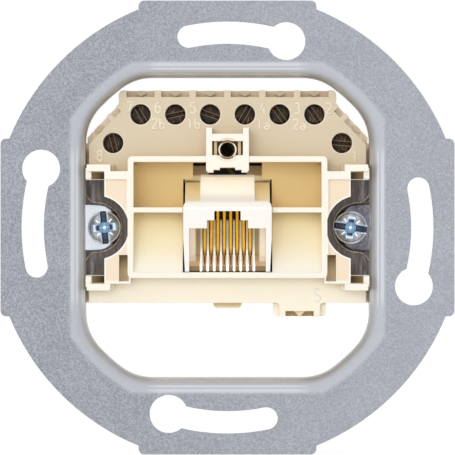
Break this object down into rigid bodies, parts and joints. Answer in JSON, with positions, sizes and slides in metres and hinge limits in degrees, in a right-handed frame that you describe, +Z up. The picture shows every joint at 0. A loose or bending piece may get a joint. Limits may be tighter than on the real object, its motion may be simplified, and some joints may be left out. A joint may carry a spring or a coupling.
{
  "type": "ethernet socket insert",
  "caption": "Flush wall data socket insert: round steel support ring with keyhole slots and spreading claws about a moulded body with a tilted modular jack and screw terminals.",
  "frame": {"origin": "centre of the support ring's rear face, which lies on the wall", "axes": "+Z up, -Y out of the wall towards the user, +Y into the wall box, +X to the user's right"},
  "size_m": [0.071, 0.0262, 0.071],
  "materials": {
    "galvanised_steel": "spangled zinc coat, satin",
    "cream_plastic": "smooth moulded, soft gloss",
    "jack_plastic": "smooth moulded, soft gloss",
    "circuit_laminate": "dark lacquered glass laminate",
    "nickel_brass": "nickel plated, turned",
    "gold_contact": "gold plated, drawn",
    "clamp_brass": "bright, stamped",
    "terminal_screw_steel": "dark passivated",
    "zinc_plated_steel": "blue passivated zinc, bright"
  },
  "bodies": {
    "insert": {"support_ring": "galvanised_steel", "front_cover": "cream_plastic", "rear_housing": "cream_plastic", "circuit_board": "circuit_laminate", "threaded_sleeve": "nickel_brass", "jack_housing": "jack_plastic", "jack_contact_carrier": "jack_plastic", "jack_contact_1": "gold_contact", "jack_contact_2": "gold_contact", "jack_contact_3": "gold_contact", "jack_contact_4": "gold_contact", "jack_contact_5": "gold_contact", "jack_contact_6": "gold_contact", "jack_contact_7": "gold_contact", "jack_contact_8": "gold_contact", "terminal_clamp_1": "clamp_brass", "terminal_clamp_2": "clamp_brass", "terminal_clamp_3": "clamp_brass", "terminal_clamp_4": "clamp_brass", "terminal_clamp_5": "clamp_brass", "terminal_clamp_6": "clamp_brass", "terminal_clamp_7": "clamp_brass", "terminal_clamp_8": "clamp_brass"},
    "claw_left": {"claw_left": "zinc_plated_steel"},
    "claw_right": {"claw_right": "zinc_plated_steel"},
    "claw_screw_left": {"claw_screw_left": "zinc_plated_steel"},
    "claw_screw_right": {"claw_screw_right": "zinc_plated_steel"},
    "terminal_screw_1": {"terminal_screw_1": "terminal_screw_steel"},
    "terminal_screw_2": {"terminal_screw_2": "terminal_screw_steel"},
    "terminal_screw_3": {"terminal_screw_3": "terminal_screw_steel"},
    "terminal_screw_4": {"terminal_screw_4": "terminal_screw_steel"},
    "terminal_screw_5": {"terminal_screw_5": "terminal_screw_steel"},
    "terminal_screw_6": {"terminal_screw_6": "terminal_screw_steel"},
    "terminal_screw_7": {"terminal_screw_7": "terminal_screw_steel"},
    "terminal_screw_8": {"terminal_screw_8": "terminal_screw_steel"}
  },
  "joints": [
    {"name": "claw_screw_left_drive", "type": "slide", "parent": "insert", "child": "claw_screw_left", "axis": [0, 1, 0], "range_m": [0, 0.00161]},
    {"name": "claw_left_swing", "type": "hinge", "parent": "insert", "child": "claw_left", "pos_m": [-0.0222, 0.0071, 0], "axis": [0, 0, 1], "range_deg": [0, 20]},
    {"name": "claw_screw_right_drive", "type": "slide", "parent": "insert", "child": "claw_screw_right", "axis": [0, 1, 0], "range_m": [0, 0.00161]},
    {"name": "claw_right_swing", "type": "hinge", "parent": "insert", "child": "claw_right", "pos_m": [0.0222, 0.0071, 0], "axis": [0, 0, -1], "range_deg": [0, 20]},
    {"name": "terminal_screw_1_drive", "type": "slide", "parent": "insert", "child": "terminal_screw_1", "axis": [0, 1, 0], "range_m": [0, 0.0012]},
    {"name": "terminal_screw_2_drive", "type": "slide", "parent": "insert", "child": "terminal_screw_2", "axis": [0, 1, 0], "range_m": [0, 0.0012]},
    {"name": "terminal_screw_3_drive", "type": "slide", "parent": "insert", "child": "terminal_screw_3", "axis": [0, 1, 0], "range_m": [0, 0.0012]},
    {"name": "terminal_screw_4_drive", "type": "slide", "parent": "insert", "child": "terminal_screw_4", "axis": [0, 1, 0], "range_m": [0, 0.0012]},
    {"name": "terminal_screw_5_drive", "type": "slide", "parent": "insert", "child": "terminal_screw_5", "axis": [0, 1, 0], "range_m": [0, 0.0012]},
    {"name": "terminal_screw_6_drive", "type": "slide", "parent": "insert", "child": "terminal_screw_6", "axis": [0, 1, 0], "range_m": [0, 0.0012]},
    {"name": "terminal_screw_7_drive", "type": "slide", "parent": "insert", "child": "terminal_screw_7", "axis": [0, 1, 0], "range_m": [0, 0.0012]},
    {"name": "terminal_screw_8_drive", "type": "slide", "parent": "insert", "child": "terminal_screw_8", "axis": [0, 1, 0], "range_m": [0, 0.0012]}
  ],
  "couplings": [
    {"joint": "claw_left_swing", "follows": "claw_screw_left_drive", "rad_per_m": 216.12},
    {"joint": "claw_right_swing", "follows": "claw_screw_right_drive", "rad_per_m": 216.12}
  ]
}
